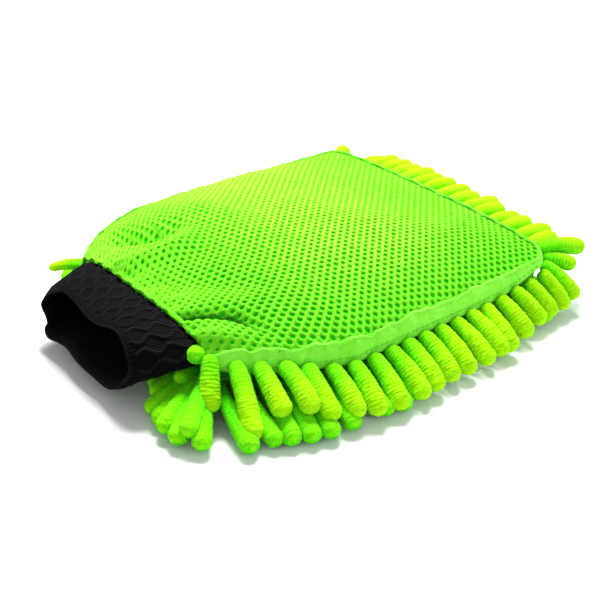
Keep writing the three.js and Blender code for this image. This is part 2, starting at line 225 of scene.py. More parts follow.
def net_material():
    n = Nodes("eyelet_mesh")
    # Painted highlight: the top of the net is painted paler and yellower where light falls on it, plus
    # random tone from the noise
    painted_highlight = n.maths("ADD", n.attribute("painted_highlight"), n.maths("MULTIPLY", n.noise(25, 4), 0.3))
    tone = n.ramp(painted_highlight, [(0.1, (0.20, 0.64, 0.014)), (1.1, (0.44, 0.72, 0.048))])
    # Painted shade: the yarn is painted dark green down towards each hole, paler on its crest
    tone_with_painted_shade = n.mix(n.attribute("painted_crest_light"), (0.02, 0.55, 0.002), tone)
    yarn = n.noise(1500, 3, 0.75)
    dark = n.ramp(yarn, [(0.42, (0.75, 0.75, 0.75)), (0.62, (0, 0, 0))])
    colour = n.mix(n.maths("MULTIPLY", dark, 0.8), tone_with_painted_shade, (0.06, 0.60, 0.004))
    # Painted shadow: a dark line along the fold near the cuff
    colour = n.mix(n.maths("MULTIPLY", n.attribute("painted_crease_shadow"), 0.9), colour, (0.0, 0.10, 0.0))
    n.cloth(colour, 0.85, 0.08, (0.9, 1, 0.3))
    n.shader.inputs["Specular IOR Level"].default_value = 0.1
    n.bump([(n.wave(900, "DIAGONAL", 2.5), 0.45, 0.0004), (yarn, 0.8, 0.0006)])
    return n.material


def lining_material():
    n = Nodes("lining")
    tone = n.ramp(n.noise(60, 3), [(0.3, (0.008, 0.72, 0.0)), (0.7, (0.02, 0.84, 0.002))])
    n.cloth(tone, 0.95, 0.0, (0.5, 1, 0.3))
    n.bump([(n.wave(700, "X", 1.0), 0.4, 0.0003), (n.wave(700, "Y", 1.0), 0.4, 0.0003)])
    return n.material


def band_material():
    n = Nodes("edge_band")
    tone = n.ramp(n.noise(40, 4), [(0.3, (0.22, 0.84, 0.035)), (0.72, (0.30, 0.90, 0.07))])
    fleck = n.noise(1500, 3, 0.8)
    dark = n.ramp(fleck, [(0.42, (0.7, 0.7, 0.7)), (0.62, (0, 0, 0))])
    colour = n.mix(n.maths("MULTIPLY", dark, 0.38), tone, (0.10, 0.70, 0.01))
    n.cloth(colour, 0.85, 0.15, (0.7, 1, 0.4))
    weave = n.wave(1300, "DIAGONAL", 1.5)
    n.bump([(weave, 0.25, 0.0002), (fleck, 0.7, 0.0006), (n.noise(220, 3), 0.45, 0.0018)])
    return n.material


def chenille_material():
    n = Nodes("chenille")
    stops = [
        (0.0, (0.001, 0.26, 0.0)), (0.4, (0.035, 0.80, 0.0)),
        (0.72, (0.17, 0.98, 0.0)), (1.0, (0.44, 1.0, 0.0)),
    ]
    # The colour follows the painted light and shade: deep green where painted shade, yellow-green where
    # painted light
    shade = n.ramp(n.attribute("shade"), stops)
    fuzz = n.noise(1500, 3, 0.8)
    tufts = n.noise(420, 3, 0.65)
    dark = n.ramp(fuzz, [(0.42, (0.8, 0.8, 0.8)), (0.60, (0, 0, 0))])
    colour = n.mix(n.maths("MULTIPLY", dark, 0.3), shade, (0.03, 0.62, 0.0))
    n.cloth(colour, 0.95, 0.25, (0.9, 1, 0.1))
    n.shader.inputs["Specular IOR Level"].default_value = 0.08
    n.bump([(tufts, 0.7, 0.0014), (fuzz, 1.0, 0.0010)])
    return n.material


def thread_material():
    n = Nodes("thread")
    tone = n.ramp(n.noise(300, 2), [(0.3, (0.14, 0.72, 0.02)), (0.7, (0.22, 0.84, 0.04))])
    n.cloth(tone, 0.7, 0.1)
    n.bump([(n.wave(1500, "DIAGONAL", 0.0), 0.5, 0.0002)])
    return n.material


def backing_material():
    n = Nodes("palm_backing")
    tone = n.ramp(n.noise(50, 3), [(0.3, (0.12, 0.62, 0.01)), (0.7, (0.20, 0.74, 0.02))])
    n.cloth(tone, 0.9, 0.1)
    n.bump([(n.wave(500, "X", 0.5), 0.5, 0.0004), (n.wave(500, "Y", 0.5), 0.5, 0.0004)])
    return n.material


def knit_material():
    n = Nodes("black_knit")
    stops = [
        (0.0, (0.0002, 0.0002, 0.0002)), (0.55, (0.0011, 0.0011, 0.0013)), (1.0, (0.0050, 0.0050, 0.0060)),
    ]
    # Colour follows the relief: painted shade in the grooves and on the inner wall, paler on the raised
    # cables, and a paler line along the rim
    tone = n.ramp(n.attribute("relief_and_painted_shade"), stops)
    fluff = n.noise(1600, 3, 0.8)
    colour = n.mix(n.maths("MULTIPLY", fluff, 0.4), tone, (0.0018, 0.0018, 0.0021))
    n.cloth(colour, 0.85, 0.003)
    n.shader.inputs["Specular IOR Level"].default_value = 0.06
    n.bump([(n.attribute("wale"), 0.7, 0.0005), (fluff, 0.5, 0.0003)])
    return n.material


NET, LINING, BAND = net_material(), lining_material(), band_material()
CHENILLE, THREAD, BACKING, KNIT = chenille_material(), thread_material(), backing_material(), knit_material()

# ---- Shape of the body ----


def half_width(x, v):
    """Distance from the middle line to the seam at x: the back side (v above 0) is fuller."""
    t = np.clip((np.asarray(x, float) - CUFF_X) / TAPER, 0, 1)
    front = lerp(CUFF_HALF, FRONT_HALF, 1 - (1 - t) ** FRONT_TAPER)
    back = lerp(CUFF_HALF, BACK_HALF, 1 - (1 - t) ** BACK_TAPER)
    return np.where(np.asarray(v) < 0, front, back)


def end_x(v):
    return END_X + END_SKEW * np.asarray(v, float)


def edge_z(x, v):
    """Height of the sewn edge: the front edge lifts towards the fingertip corner."""
    front = EDGE_Z - 3.0 + 4.6 * smooth(40, 100, x) - 0.5 * smooth(-85, -104, x)
    back = EDGE_Z + 1.5 - 2.0 * smooth(-85, -104, x) + 1.0 * smooth(60, 100, x)
    return np.where(np.asarray(v) < 0, front, back)


def along_curve(x, y, curve):
    """Signed distance to an open line (positive to its left) and the share of the way along it."""
    x, y = np.asarray(x, float), np.asarray(y, float)
    best = np.full(x.shape, 1e9)
    side = np.zeros(x.shape)
    share = np.zeros(x.shape)
    pts = np.array(curve, float)
    steps = np.linalg.norm(np.diff(pts, axis=0), axis=1)
    total = steps.sum()
    done = 0.0
    for (ax, ay), (bx, by), step in zip(pts[:-1], pts[1:], steps):
        dx, dy = (bx - ax) / step, (by - ay) / step
        t = np.clip((x - ax) * dx + (y - ay) * dy, 0, step)
        px, py = x - ax - t * dx, y - ay - t * dy
        d = np.hypot(px, py)
        closer = d < best
        best = np.where(closer, d, best)
        side = np.where(closer, np.sign(dx * py - dy * px), side)
        share = np.where(closer, (done + t) / total, share)
        done += step
    return best * side, share


CREST = [(-110, 26), (-100, 21), (-88, 16), (-77, 14), (-65, 17), (-55, 24), (-45, 35)]
VALLEY = [(-86, 64), (-77, 50), (-69, 42), (-60, 40), (-50, 47)]
BROW = [(-62, 66), (-45, 62), (-33, 45), (-27, 22), (-36, -6), (-44, -24)]
CREASE = [(-108, -36), (-101, -38), (-95, -41), (-88, -46), (-82, -52), (-77, -61), (-73, -71), (-70, -82)]
FRONT_ROLL = [(-106, -53), (-97, -56), (-90, -63), (-85, -72), (-81, -82)]
HOLLOW = [(-100, -5), (-88, -12), (-74, -22), (-62, -36), (-52, -52)]
PUCKERS = 11


def ridge(x, y, curve, height, wide, start, end):
    """A long soft ridge (or hollow, if height is below 0) that fades at both ends."""
    d, s = along_curve(x, y, curve)
    wide = np.where(d > 0, wide[0], wide[1])
    return height * np.exp(-((d / wide) ** 2)) * smooth(*start, s) * (1 - smooth(*end, s))


def folds(x, y):
    lift = ridge(x, y, CREST, 6.5, (4.5, 8.0), (-0.1, 0.15), (0.5, 0.95))
    lift = lift + ridge(x, y, VALLEY, -10.5, (9.0, 7.0), (-0.1, 0.3), (0.6, 1.0))
    lift = lift + ridge(x, y, BROW, 2.6, (15.0, 13.0), (0.0, 0.3), (0.6, 1.0))
    lift = lift + ridge(x, y, CREASE, -7.5, (6.0, 1.8), (-0.1, 0.05), (0.45, 0.9))
    lift = lift + ridge(x, y, FRONT_ROLL, 4.0, (6.5, 7.0), (-0.1, 0.1), (0.6, 1.0))
    lift = lift + ridge(x, y, HOLLOW, -3.6, (10.0, 12.0), (-0.1, 0.15), (0.6, 1.0))
    return lift


def top_z(x, v):
    """Height of the mesh fabric at x, a share v of the way across from the middle."""
    x, v = np.asarray(x, float), np.clip(np.asarray(v, float), -1, 1)
    y = v * half_width(x, v)
    edge = edge_z(x, v)
    rise = np.clip((x - CUFF_X) / 60.0, 0, 1)
    crown = lerp(CUFF_Z, CROWN_Z, 1 - (1 - rise) ** 1.7)
    along = np.clip((x + 5.0) / (end_x(v) + 5.0), 0, 1)
    crown = crown - (CROWN_Z - END_Z) * along ** 2.2
    front = np.maximum(0, 1 - np.abs(v) ** 2.8) ** 0.72
    full = smooth(-85, 20, x)
    back = np.maximum(0, 1 - np.abs(v) ** lerp(2.6, 3.8, full)) ** lerp(0.8, 0.55, full)
    bulge = np.where(v < 0, front, back)
    z = edge + (crown - edge) * bulge
    inside = smooth(1.0, 0.8, np.abs(v)) * smooth(0, 8, x - CUFF_X + 2)
    z = z + folds(x, y) * inside
    hump = 1.2 * wobble(x / 40 + y / 55, 3) + 0.8 * wobble(y / 30 - x / 60, 4)
    z = z + hump * smooth(1.0, 0.6, np.abs(v)) * smooth(0, 25, x - CUFF_X) * smooth(0, 20, END_X - x)
    near_cuff = smooth(22, 0, x - CUFF_X)
    pucker = np.sin(v * math.pi * PUCKERS + 1.5 * wobble(x / 9, 5))
    return z + 1.1 * near_cuff * pucker * smooth(1, 0.9, np.abs(v))


def on_top(q, v):
    """Point of the mesh fabric from its flat place: q along (0 to 1) and v across (-1 to 1)."""
    q, v = np.clip(np.asarray(q, float), 0, 1), np.clip(np.asarray(v, float), -1, 1)
    start = CUFF_X + 3.5 * v ** 2 - 1.0
    x = lerp(start, end_x(v), q)
    y = v * half_width(x, v)
    ex, ey = end_x(v) - CORNER_R, half_width(x, v) - CORNER_R
    px, py = np.maximum(0, x - ex), np.maximum(0, np.abs(y) - ey)
    reach = np.maximum(np.hypot(px, py), 1e-6)
    pull = np.minimum(1, CORNER_R / reach)
    x = np.where((px > 0) & (py > 0), ex + px * pull, x)
    y = np.where((px > 0) & (py > 0), np.sign(y) * (ey + py * pull), y)
    return np.stack([x, y, top_z(x, v)], -1)


def normals_on_top(q, v):
    e = 1e-3
    q, v = np.clip(q, 0, 1), np.clip(v, -1, 1)
    a = on_top(np.minimum(q + e, 1), v) - on_top(np.maximum(q - e, 0), v)
    b = on_top(q, np.minimum(v + e, 1)) - on_top(q, np.maximum(v - e, -1))
    n = np.cross(a, b)
    return n / np.maximum(np.linalg.norm(n, axis=-1, keepdims=True), 1e-9)


FLAT_LENGTH, FLAT_WIDTH = END_X - CUFF_X, 2 * HALF


def build_net():
    """The open mesh: one ring of yarn round each hole, joined along six sides."""
    corner = PITCH / math.sqrt(3)
    angles = LATTICE_TURN + np.radians(np.arange(CELL_POINTS) * 30)
    outer = np.where(np.arange(CELL_POINTS) % 2 == 0, corner, corner * math.cos(math.pi / 6))
    turns = (LATTICE_TURN + math.pi / 6, LATTICE_TURN + math.pi / 2)
    step = np.array([[math.cos(a), math.sin(a)] for a in turns]) * PITCH
    i = np.arange(-LATTICE_REACH, LATTICE_REACH + 1)
    j = np.arange(-LATTICE_REACH * 2, LATTICE_REACH * 2 + 1)
    i, j = np.meshgrid(i, j, indexing="ij")
    centres = np.stack([i, j], -1).reshape(-1, 2) @ step
    limit = np.array([FLAT_LENGTH, FLAT_WIDTH]) / 2 + 0.4 * PITCH
    centres = centres[(np.abs(centres) < limit).all(axis=1)]
    rng = np.random.default_rng(11)
    near = smooth(42, 0, centres[:, 0] + FLAT_LENGTH / 2)
    size = HOLE * (1 - 0.48 * near) * (1 + 0.07 * rng.standard_normal(len(centres)))
    points, painted_crest_light, lift = [], [], []
    unit = np.stack([np.cos(angles), np.sin(angles)], -1)
    for blend, height, light, share in CELL_RINGS:
        if blend is None:
            radius = np.broadcast_to(outer, (len(centres), CELL_POINTS))
        else:
            radius = size[:, None] * (1 - max(blend, 0)) + outer[None, :] * max(blend, 0) + min(blend, 0)
        points.append(centres[:, None, :] + unit[None] * radius[..., None])
        rib = RIB_LIFT * share * np.cos(2 * (angles - RIB_ACROSS))
        lift.append(np.broadcast_to(height + rib, (len(centres), CELL_POINTS)))
        # Painted light on the ribs: paler where a rib stands higher
        painted_crest_light.append(np.broadcast_to(light * (1 + 0.25 * rib / RIB_LIFT), (len(centres), CELL_POINTS)))
    flat = np.stack(points, 1).reshape(-1, 2)
    lift = np.stack(lift, 1).reshape(-1)
    painted_crest_light = np.stack(painted_crest_light, 1).reshape(-1)
    base = np.arange(len(centres))[:, None, None] * CELL_POINTS * len(CELL_RINGS)
    r = base + np.arange(len(CELL_RINGS) - 1)[None, :, None] * CELL_POINTS
    k = np.arange(CELL_POINTS)[None, None, :]
    m = (k + 1) % CELL_POINTS
    faces = np.stack([r + k, r + m, r + CELL_POINTS + m, r + CELL_POINTS + k], -1).reshape(-1, 4)
    # One point where neighbouring cells meet
    key = np.round(flat / 0.05).astype(int)
    key = np.concatenate([key, np.round(lift * 100).astype(int)[:, None]], 1)
    _, first, where = np.unique(key, axis=0, return_index=True, return_inverse=True)
    where = where.reshape(-1)
    faces = where[faces]
    flat, lift, painted_crest_light = flat[first], lift[first], painted_crest_light[first]
    good = np.array([len(set(f)) == 4 for f in faces])
    faces = faces[good]
    q, v = flat[:, 0] / FLAT_LENGTH + 0.5, flat[:, 1] / (FLAT_WIDTH / 2)
    # The fabric lies flat and a little lower where the bands cover its edge
    open_part = smooth(1.0, 0.975, np.abs(v)) * smooth(1.0, 0.985, q)
    lift = lerp(-0.5, lift, open_part)
    place = on_top(q, v) + normals_on_top(q, v) * lift[:, None]
    away, share = along_curve(place[:, 0], place[:, 1], CREASE)
    # The painted shadow of the fold runs up its inner side, behind the roll of the front edge
    floor = 3.9 * smooth(-0.02, 0.12, share) * (1 - smooth(0.45, 0.75, share))
    away = np.where(away > 0, np.maximum(0, away - floor) / 0.9, away / 1.2)
    painted_crease_shadow = np.exp(-(away ** 2)) * (1 - smooth(0.5, 0.85, share))
    x, y = place[:, 0], place[:, 1]
    # Painted highlight over the middle of the top, fading towards the cuff, the fingertips and the front
    # edge, and a weaker one on the back side near the cuff
    painted_highlight = smooth(-80, 20, x) * (1 - 0.6 * smooth(25, 80, x)) * smooth(-95, -30, y)
    painted_highlight = np.maximum(painted_highlight, 0.3 * smooth(5, 45, y) * smooth(40, -40, x))
    net = add_mesh("mesh_top_panel_net", place, faces, NET)
    paint(net, "painted_crest_light", painted_crest_light)
    paint(net, "painted_crease_shadow", painted_crease_shadow)
    paint(net, "painted_highlight", painted_highlight)
    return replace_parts(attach(net, "mitt_body"), "mesh_top_panel")


def build_lining():
    rows, columns = 110, 120
    q, v = np.meshgrid(np.linspace(0, 1, rows), np.linspace(-1, 1, columns), indexing="ij")
    q, v = q.ravel(), v.ravel()
    place = on_top(q, v) - normals_on_top(q, v) * LINING_DEPTH
    lining = add_mesh("pocket_lining_upper", place, grid_faces(rows, columns), LINING)
    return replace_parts(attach(lining, "mitt_body"), "pocket_lining_top")


def outline_grid(inset, rows=60, columns=40):
    """Plan grid over the body, drawn in by inset."""
    q, v = np.meshgrid(np.linspace(0.0, 1, rows), np.linspace(-1, 1, columns), indexing="ij")
    place = on_top(q.ravel(), v.ravel())
    middle = np.array([(CUFF_X + END_X) / 2, 0])
    size = np.array([(END_X - CUFF_X) / 2, HALF])
    place[:, :2] = middle + (place[:, :2] - middle) * (1 - inset / size)
    return place


# ---- Edge bands ----


def plan_steps(place):
    """Distance in plan from each place to the next."""
    return np.linalg.norm(np.diff(place[:, :2], axis=0), axis=1)


def edge_path():
    """Places round the seam from the front cuff corner to the back one, and the distance along it."""
    side = np.linspace(0, 1, 400)
    q = np.concatenate([side, np.ones(400), side[::-1]])
    v = np.concatenate([-np.ones(400), np.linspace(-1, 1, 400), np.ones(400)])
    place = on_top(q, v)
    place = place[np.concatenate([[True], plan_steps(place) > 1e-4])]
    return place, np.concatenate([[0], np.cumsum(plan_steps(place))])


PATH, PATH_LENGTH = edge_path()
TOTAL = PATH_LENGTH[-1]


def path_at(u):
    """Seam point, outward direction and direction of the seam at a distance u along it."""
    point = np.stack([np.interp(u, PATH_LENGTH, PATH[:, k]) for k in range(3)], -1)
    e = 1.5
    ahead = np.stack([np.interp(np.minimum(u + e, TOTAL), PATH_LENGTH, PATH[:, k]) for k in range(2)], -1)
    behind = np.stack([np.interp(np.maximum(u - e, 0), PATH_LENGTH, PATH[:, k]) for k in range(2)], -1)
    way = ahead - behind
    way = way / np.linalg.norm(way, axis=-1, keepdims=True)
    return point, np.stack([way[:, 1], -way[:, 0]], -1), way


def length_at(x, y):
    """Distance along the seam of the seam point nearest to (x, y)."""
    return float(PATH_LENGTH[np.argmin(np.hypot(PATH[:, 0] - x, PATH[:, 1] - y))])


FRONT_CORNER_U = length_at(END_X - END_SKEW - 4, -FRONT_HALF + 1)
BACK_CORNER_U = length_at(END_X + END_SKEW - 4, BACK_HALF - 1)


def surface_height(x, y):
    return top_z(x, y / half_width(x, y))


def ripple(place):
    x, y = place[:, 0], place[:, 1]
    return 0.5 * wobble(x / 9 + y / 14, 21) + 0.3 * wobble(y / 6, 22)


def build_floor_layers():
    lining = outline_grid(2.0)
    lining[:, 2] = POCKET_FLOOR_Z + ripple(lining)
    cloth = add_mesh("pocket_lining_lower", lining, grid_faces(60, 40), LINING)
    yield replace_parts(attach(cloth, "mitt_body"), "pocket_lining_bottom")
    # The palm's ground cloth turns up round its edge and is sewn in behind the bands
    ground = outline_grid(1.5)
    ground[:, 2] = GROUND_Z + ripple(ground)
    u = np.linspace(0, TOTAL, 240)
    point, out, _ = path_at(u)
    rows = []
    behind_band = point[:, 2] - 5.0 * band_width(u)
    for inset, z in ((5.2, GROUND_Z), (4.4, 17.0), (3.2, 20.0), (1.0, behind_band)):
        rows.append(np.stack([*(point[:, :2] - out * inset).T, np.broadcast_to(z, 240)], -1))
    wall = np.stack(rows, 1).reshape(-1, 3)
    faces = np.concatenate([grid_faces(60, 40), grid_faces(240, 4, start=len(ground))])
    cloth = add_mesh("palm_backing_cloth", np.concatenate([ground, wall]), faces, BACKING)
    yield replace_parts(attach(cloth, "mitt_body"), "palm_backing")


def band_width(u):
    """Height of the bands round the seam as a share of the fullest part."""
    front = 1.0 - 0.4 * smooth(22, 0, u) - 0.55 * smooth(FRONT_CORNER_U - 30, FRONT_CORNER_U, u)
    back = 0.55 + 0.65 * smooth(BACK_CORNER_U, BACK_CORNER_U + 10, u) - 0.2 * smooth(TOTAL - 22, TOTAL, u)
    past_corner = smooth(FRONT_CORNER_U, FRONT_CORNER_U + 15, u)
    return np.where(u < FRONT_CORNER_U, front, lerp(0.45, back, past_corner))


# Section of a band: share of the way down it, step out from the seam (inwards if below 0), height
BAND_SHARE = [0, 0.08, 0.16, 0.3, 0.42, 0.5, 0.75, 0.92, 1.0]
BAND_STEP = [-0.55, -0.68, -0.6, -0.3, 0.04, 0.15, 0.22, 0.2, 0.05]
BAND_HEIGHT = [0.6, 1.3, 1.7, 1.3, 0.6, -1.2, -6.2, -8.4, -8.0]


def on_band(u, c, seed):
    """Points of a band's face at distances u along the seam, a share c of the way down."""
    point, out, _ = path_at(u)
    wide = band_width(u)
    edge = 2.4 + 1.3 * wobble(u / 7.5, seed) + 0.9 * wobble(u / 3.1, seed + 1)
    step, height = np.interp(c, BAND_SHARE, BAND_STEP), np.interp(c, BAND_SHARE, BAND_HEIGHT)
    o = step * edge * wide if step < 0 else 0.5 + step * 5.0 * wide
    pucker = 0.7 * wobble(u / 2.6 + c * 1.7, seed + 2) + 0.5 * wobble(u / 6.1 - c, seed + 3)
    pucker = pucker * math.sin(math.pi * min(1, c + 0.1))
    x, y = point[:, 0] + out[:, 0] * o, point[:, 1] + out[:, 1] * o
    ground = surface_height(x, y) if step < 0 else point[:, 2]
    z = ground + (height if height > 0 else height * wide) + pucker * 0.6
    return np.stack([x + out[:, 0] * pucker * 0.7, y + out[:, 1] * pucker * 0.7, z], -1)


# Each band's piece, the node it stands for, its start and end along the seam, and its seed
BANDS = [
    ("front_band_strip", "front_edge_band", 0.5, FRONT_CORNER_U, 41),
    ("fingertip_band_strip", "fingertip_edge_band", FRONT_CORNER_U - 1, BACK_CORNER_U + 1, 51),
    ("back_band_strip", "back_edge_band", BACK_CORNER_U, TOTAL - 0.5, 61),
]
STITCH_PITCH, STITCH_LENGTH = 3.4, 2.5


def build_band(name, node, u0, u1, seed):
    """A knitted strip folded over the panel's edge: rolled upper edge, rounded fall, turned hem."""
    count = int((u1 - u0) / 1.1)
    u = np.linspace(u0, u1, count)
    place = np.stack([on_band(u, c, seed) for c in np.linspace(0, 1, 15)], 1).reshape(-1, 3)
    band = add_mesh(name, place, grid_faces(count, 15)[:, ::-1], BAND)
    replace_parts(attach(band, "mitt_body"), node)
    thicken = band.modifiers.new("Thickness", "SOLIDIFY")
    thicken.thickness = 0.0009
    thicken.offset = -1
    return band


# ---- Chenille noodles ----

TUFT_PITCH = 1.75


def noodle_mesh(path, radius, seed, rings=76, sides=20, end_size=1.08):
    """Round-ended chenille noodle along a smooth path of points, with its shade at each point."""
    rng = np.random.default_rng(seed)
    path = np.asarray(path, float)
    f = np.linspace(0, 1, 80)[:, None]
    if len(path) == 3:
        line = (1 - f) ** 2 * path[0] + 2 * f * (1 - f) * path[1] + f ** 2 * path[2]
    else:
        line = (1 - f) ** 3 * path[0] + 3 * f * (1 - f) ** 2 * path[1]
        line = line + 3 * f ** 2 * (1 - f) * path[2] + f ** 3 * path[3]
    length = np.concatenate([[0], np.cumsum(np.linalg.norm(np.diff(line, axis=0), axis=1))])
    total = length[-1]
    cap = radius * 0.95
    turn = cap * (1 - np.cos(np.linspace(0.12, math.pi / 2, 9)))
    shaft = np.linspace(cap * 0.2, total - cap, rings - 11)
    along = np.concatenate([[0], shaft, (total - turn)[::-1], [total]])
    centre = np.stack([np.interp(along, length, line[:, k]) for k in range(3)], -1)
    way = np.gradient(centre, axis=0)
    way /= np.linalg.norm(way, axis=1, keepdims=True)
    side = np.cross(way, (0, 0, 1.0))
    side /= np.maximum(np.linalg.norm(side, axis=1, keepdims=True), 1e-6)
    lift = np.cross(side, way)
    profile = lerp(0.88, end_size, smooth(0.0, 0.85 * total, along))
    profile = profile * (1 + 0.04 * wobble(along / 5, seed + 9))
    for gap in (total - along, along + 0.25 * cap):
        profile = profile * np.sqrt(np.clip(1 - (1 - np.clip(gap / cap, 0, 1)) ** 2, 0, 1))
    phase, skew = rng.uniform(0, 6), rng.uniform(-0.5, 0.5)
    A, S = np.meshgrid(np.linspace(0, 2 * math.pi, sides, endpoint=False), along, indexing="xy")
    # Tufts of pile stand in broken rings round the core
    drift = skew * np.sin(A + phase) + 0.8 * np.sin(3 * A + 0.8 * S + phase) + 0.6 * wobble(S / 4, seed + 2)
    tufts = np.cos(2 * math.pi * S / TUFT_PITCH + 1.3 * drift + phase)
    tufts = tufts * (0.7 + 0.3 * np.sin(5 * A + 1.7 * S + phase))
    rough = 0.022 * np.sin(A * 5 + S * 2.1 + phase) * np.sin(S * 3.3 + A * 3 + phase)
    R = radius * profile[:, None] * (1 + 0.042 * tufts + rough + 0.020 * rng.standard_normal(A.shape))
    around = np.cos(A)[..., None] * side[:, None, :] + 0.94 * np.sin(A)[..., None] * lift[:, None, :]
    place = (centre[:, None, :] + R[..., None] * around).reshape(-1, 3)
    ends = np.array([centre[0] - way[0] * 0.02, centre[-1] + way[-1] * 0.02])
    faces = [tuple(quad) for quad in grid_faces(rings, sides, wrap=True)[:, ::-1]]
    first, last, top = len(place), len(place) + 1, (rings - 1) * sides
    faces += [(first, (k + 1) % sides, k) for k in range(sides)]
    faces += [(last, top + k, top + (k + 1) % sides) for k in range(sides)]
    # Painted light and shade: darker at the root and paler towards the tip, paler on the top and darker
    # underneath, darker between the tufts
    shade = 0.50 + 0.46 * smooth(0.1, 0.95, S / total) + 0.22 * np.sin(A) + 0.15 * tufts
    return np.concatenate([place, ends]), faces, np.concatenate([shade.reshape(-1), [0.5, 1.0]])


def merged(parts):
    points, faces, shade, start = [], [], [], 0
    for p, f, s in parts:
        points.append(p)
        faces += [tuple(i + start for i in face) for face in f]
        shade.append(s)
        start += len(p)
    return np.concatenate(points), faces, np.concatenate(shade)


def add_noodles(name, parts, body, nodes=(), painted_shade=0.0):
    points, faces, shade = merged(parts)
    points[:, 2] = np.maximum(points[:, 2], 0.15)
    obj = add_mesh(name, points, faces, CHENILLE)
    # Painted shade for the whole piece: above 0 paints it darker, below 0 paints it lighter as painted light
    paint(obj, "shade", np.clip(shade - painted_shade, 0, 1))
    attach(obj, body)
    if nodes:
        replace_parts(obj, *nodes)
    return obj


def arc(root, tip, rise):
    """Three-point path from root to tip that leaves outwards and bends down to the tip."""
    root, tip = np.array(root, float), np.array(tip, float)
    middle = lerp(root, tip, 0.5)
    middle[2] += rise
    across = np.array([tip[1] - root[1], root[0] - tip[0]])
    bend = 2.2 * float(wobble(root[0] * 1.7 + root[1] * 2.9, 81))
    middle[:2] += across / max(np.linalg.norm(across), 1e-6) * bend
    return [root, middle, tip]


# How each front noodle lies, from the cuff to the fingertips: height of its root above
# the usual, lean along X, reach outwards, height of its tip.
FRONT_LIE = [
    (9.0, -11, 14, 9.5), (6.0, -12.5, 32, 5.0), (4.5, -5, 27, 12.0), (4.0, -3, 27, 12.5),
    (2.5, -4.5, 27, 8.5), (1.0, -3.5, 26, 7.5), (0.5, -4.5, 26, 6.5), (0.0, -3.5, 27, 5.5),
    (0.0, 0, 27, 5.0), (0.0, -1, 26, 5.0), (0.0, -0.5, 25, 4.9), (0.0, 0, 25.5, 4.9),
    (0.0, 2.5, 25.5, 4.9), (0.5, 3.5, 24, 4.9), (0.5, -1, 24, 4.9), (1.5, 4.5, 20, 5.0),
    (3.0, 9.5, 15.5, 5.2), (4.0, 9.5, 13.5, 5.5), (5.5, 9.5, 13, 5.5),
]
FRONT_ROOT_Z = 20.0


def build_front_noodles():
    point, out, _ = path_at(np.linspace(0.3, FRONT_CORNER_U - 2.5, len(FRONT_LIE)))
    for i, (rise, lean, reach, tip_z) in enumerate(FRONT_LIE):
        offset = lerp(-2.2, 1.2, float(smooth(0, 5, i)))
        root = np.array([*(point[i, :2] + out[i] * offset), FRONT_ROOT_Z + rise])
        tip = np.array([root[0] + lean, root[1] - reach, tip_z])
        path = arc(root, tip, 3.2)
        name = f"front_noodle_{i + 1:02d}"
        noodle = noodle_mesh(path, 4.75 + 0.2 * wobble(i, 31) + 0.2 * (i == 0), 100 + i)
        # Painted light: the front noodles nearer the fingertips are painted lighter
        add_noodles(name + "_chenille", [noodle], name, [name], painted_shade=-0.30 * float(smooth(7, 15, i)))


# Where the lower noodles nearest the cuff end: (x, y)
LOWER_TIPS = [(-108, -104), (-96, -107), (-90, -111), (-82, -115), (-73, -118), (-61, -119)]


def build_front_lower():
    """The second row of the front fringe, which shows between the first."""
    parts = []
    rng = np.random.default_rng(5)
    count = 19
    point, out, _ = path_at(np.linspace(2.0, FRONT_CORNER_U - 8, count))
    for i in range(count):
        root = np.array([*(point[i, :2] - out[i] * 4.0), 12.0])
        reach = 31 - 12 * float(smooth(-35, 10, root[0])) + rng.uniform(-1.5, 1.5)
        tip = np.array([root[0] + rng.uniform(-2, 2), root[1] - reach, 4.6])
        if i < len(LOWER_TIPS):
            tip[:2] = LOWER_TIPS[i]
        parts.append(noodle_mesh(arc(root, tip, 0.5), 4.4, 300 + i))
    # Painted shade: this row lies under the first and is painted darker
    add_noodles("front_lower_noodles", parts, "mitt_body", painted_shade=0.42)


def build_hidden_rows():
    """The second rows of the fingertip and back fringes, under the first."""
    rng = np.random.default_rng(6)
    rows = {
        "fingertip_lower_noodles": (FRONT_CORNER_U + 4, BACK_CORNER_U - 4, 17, 16),
        "back_lower_noodles": (BACK_CORNER_U + 2, TOTAL - 24, 19, 27),
    }
    for name, (start, end, count, reach) in rows.items():
        point, out, _ = path_at(np.linspace(start, end, count))
        parts = []
        for i in range(count):
            root = np.array([*(point[i, :2] - out[i] * 4.5), 12.5])
            tip = root + np.array([*(out[i] * (reach + rng.uniform(-2, 2))), -8.0])
            tip[:2] += rng.uniform(-2.5, 2.5, 2)
            parts.append(noodle_mesh(arc(root, tip, 0.5), 4.4, 340 + i, rings=56, sides=16))
        # Painted shade: these rows lie under the first and are painted darker
        add_noodles(name, parts, "mitt_body", painted_shade=0.35)


def build_end_noodles():
    rng = np.random.default_rng(8)
    for i in range(15):
        name = f"fingertip_noodle_{i + 1:02d}"
        low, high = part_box(name)
        y = (low.y + high.y) / 2 / MM
        root_z = high.z / MM - 4.25
        v = y / HALF
        x = float(end_x(v)) + 3.8
        up = 1.5 + 2.8 * float(smooth(-40, 40, y))
        root = np.array([x, y, root_z + up])
        tip_x, tip_y = 133.0 + up * 0.6 + rng.uniform(-3.5, 2), y + rng.uniform(-3.5, 3.0)
        tip = np.array([tip_x, tip_y, root_z + up - rng.uniform(1.5, 4.0)])
        path = arc(root, tip, rng.uniform(2.5, 5.0))
        # Painted light: the fingertip noodles are painted lighter
        add_noodles(name + "_chenille", [noodle_mesh(path, 4.7, 200 + i)], name, [name], painted_shade=-0.16)


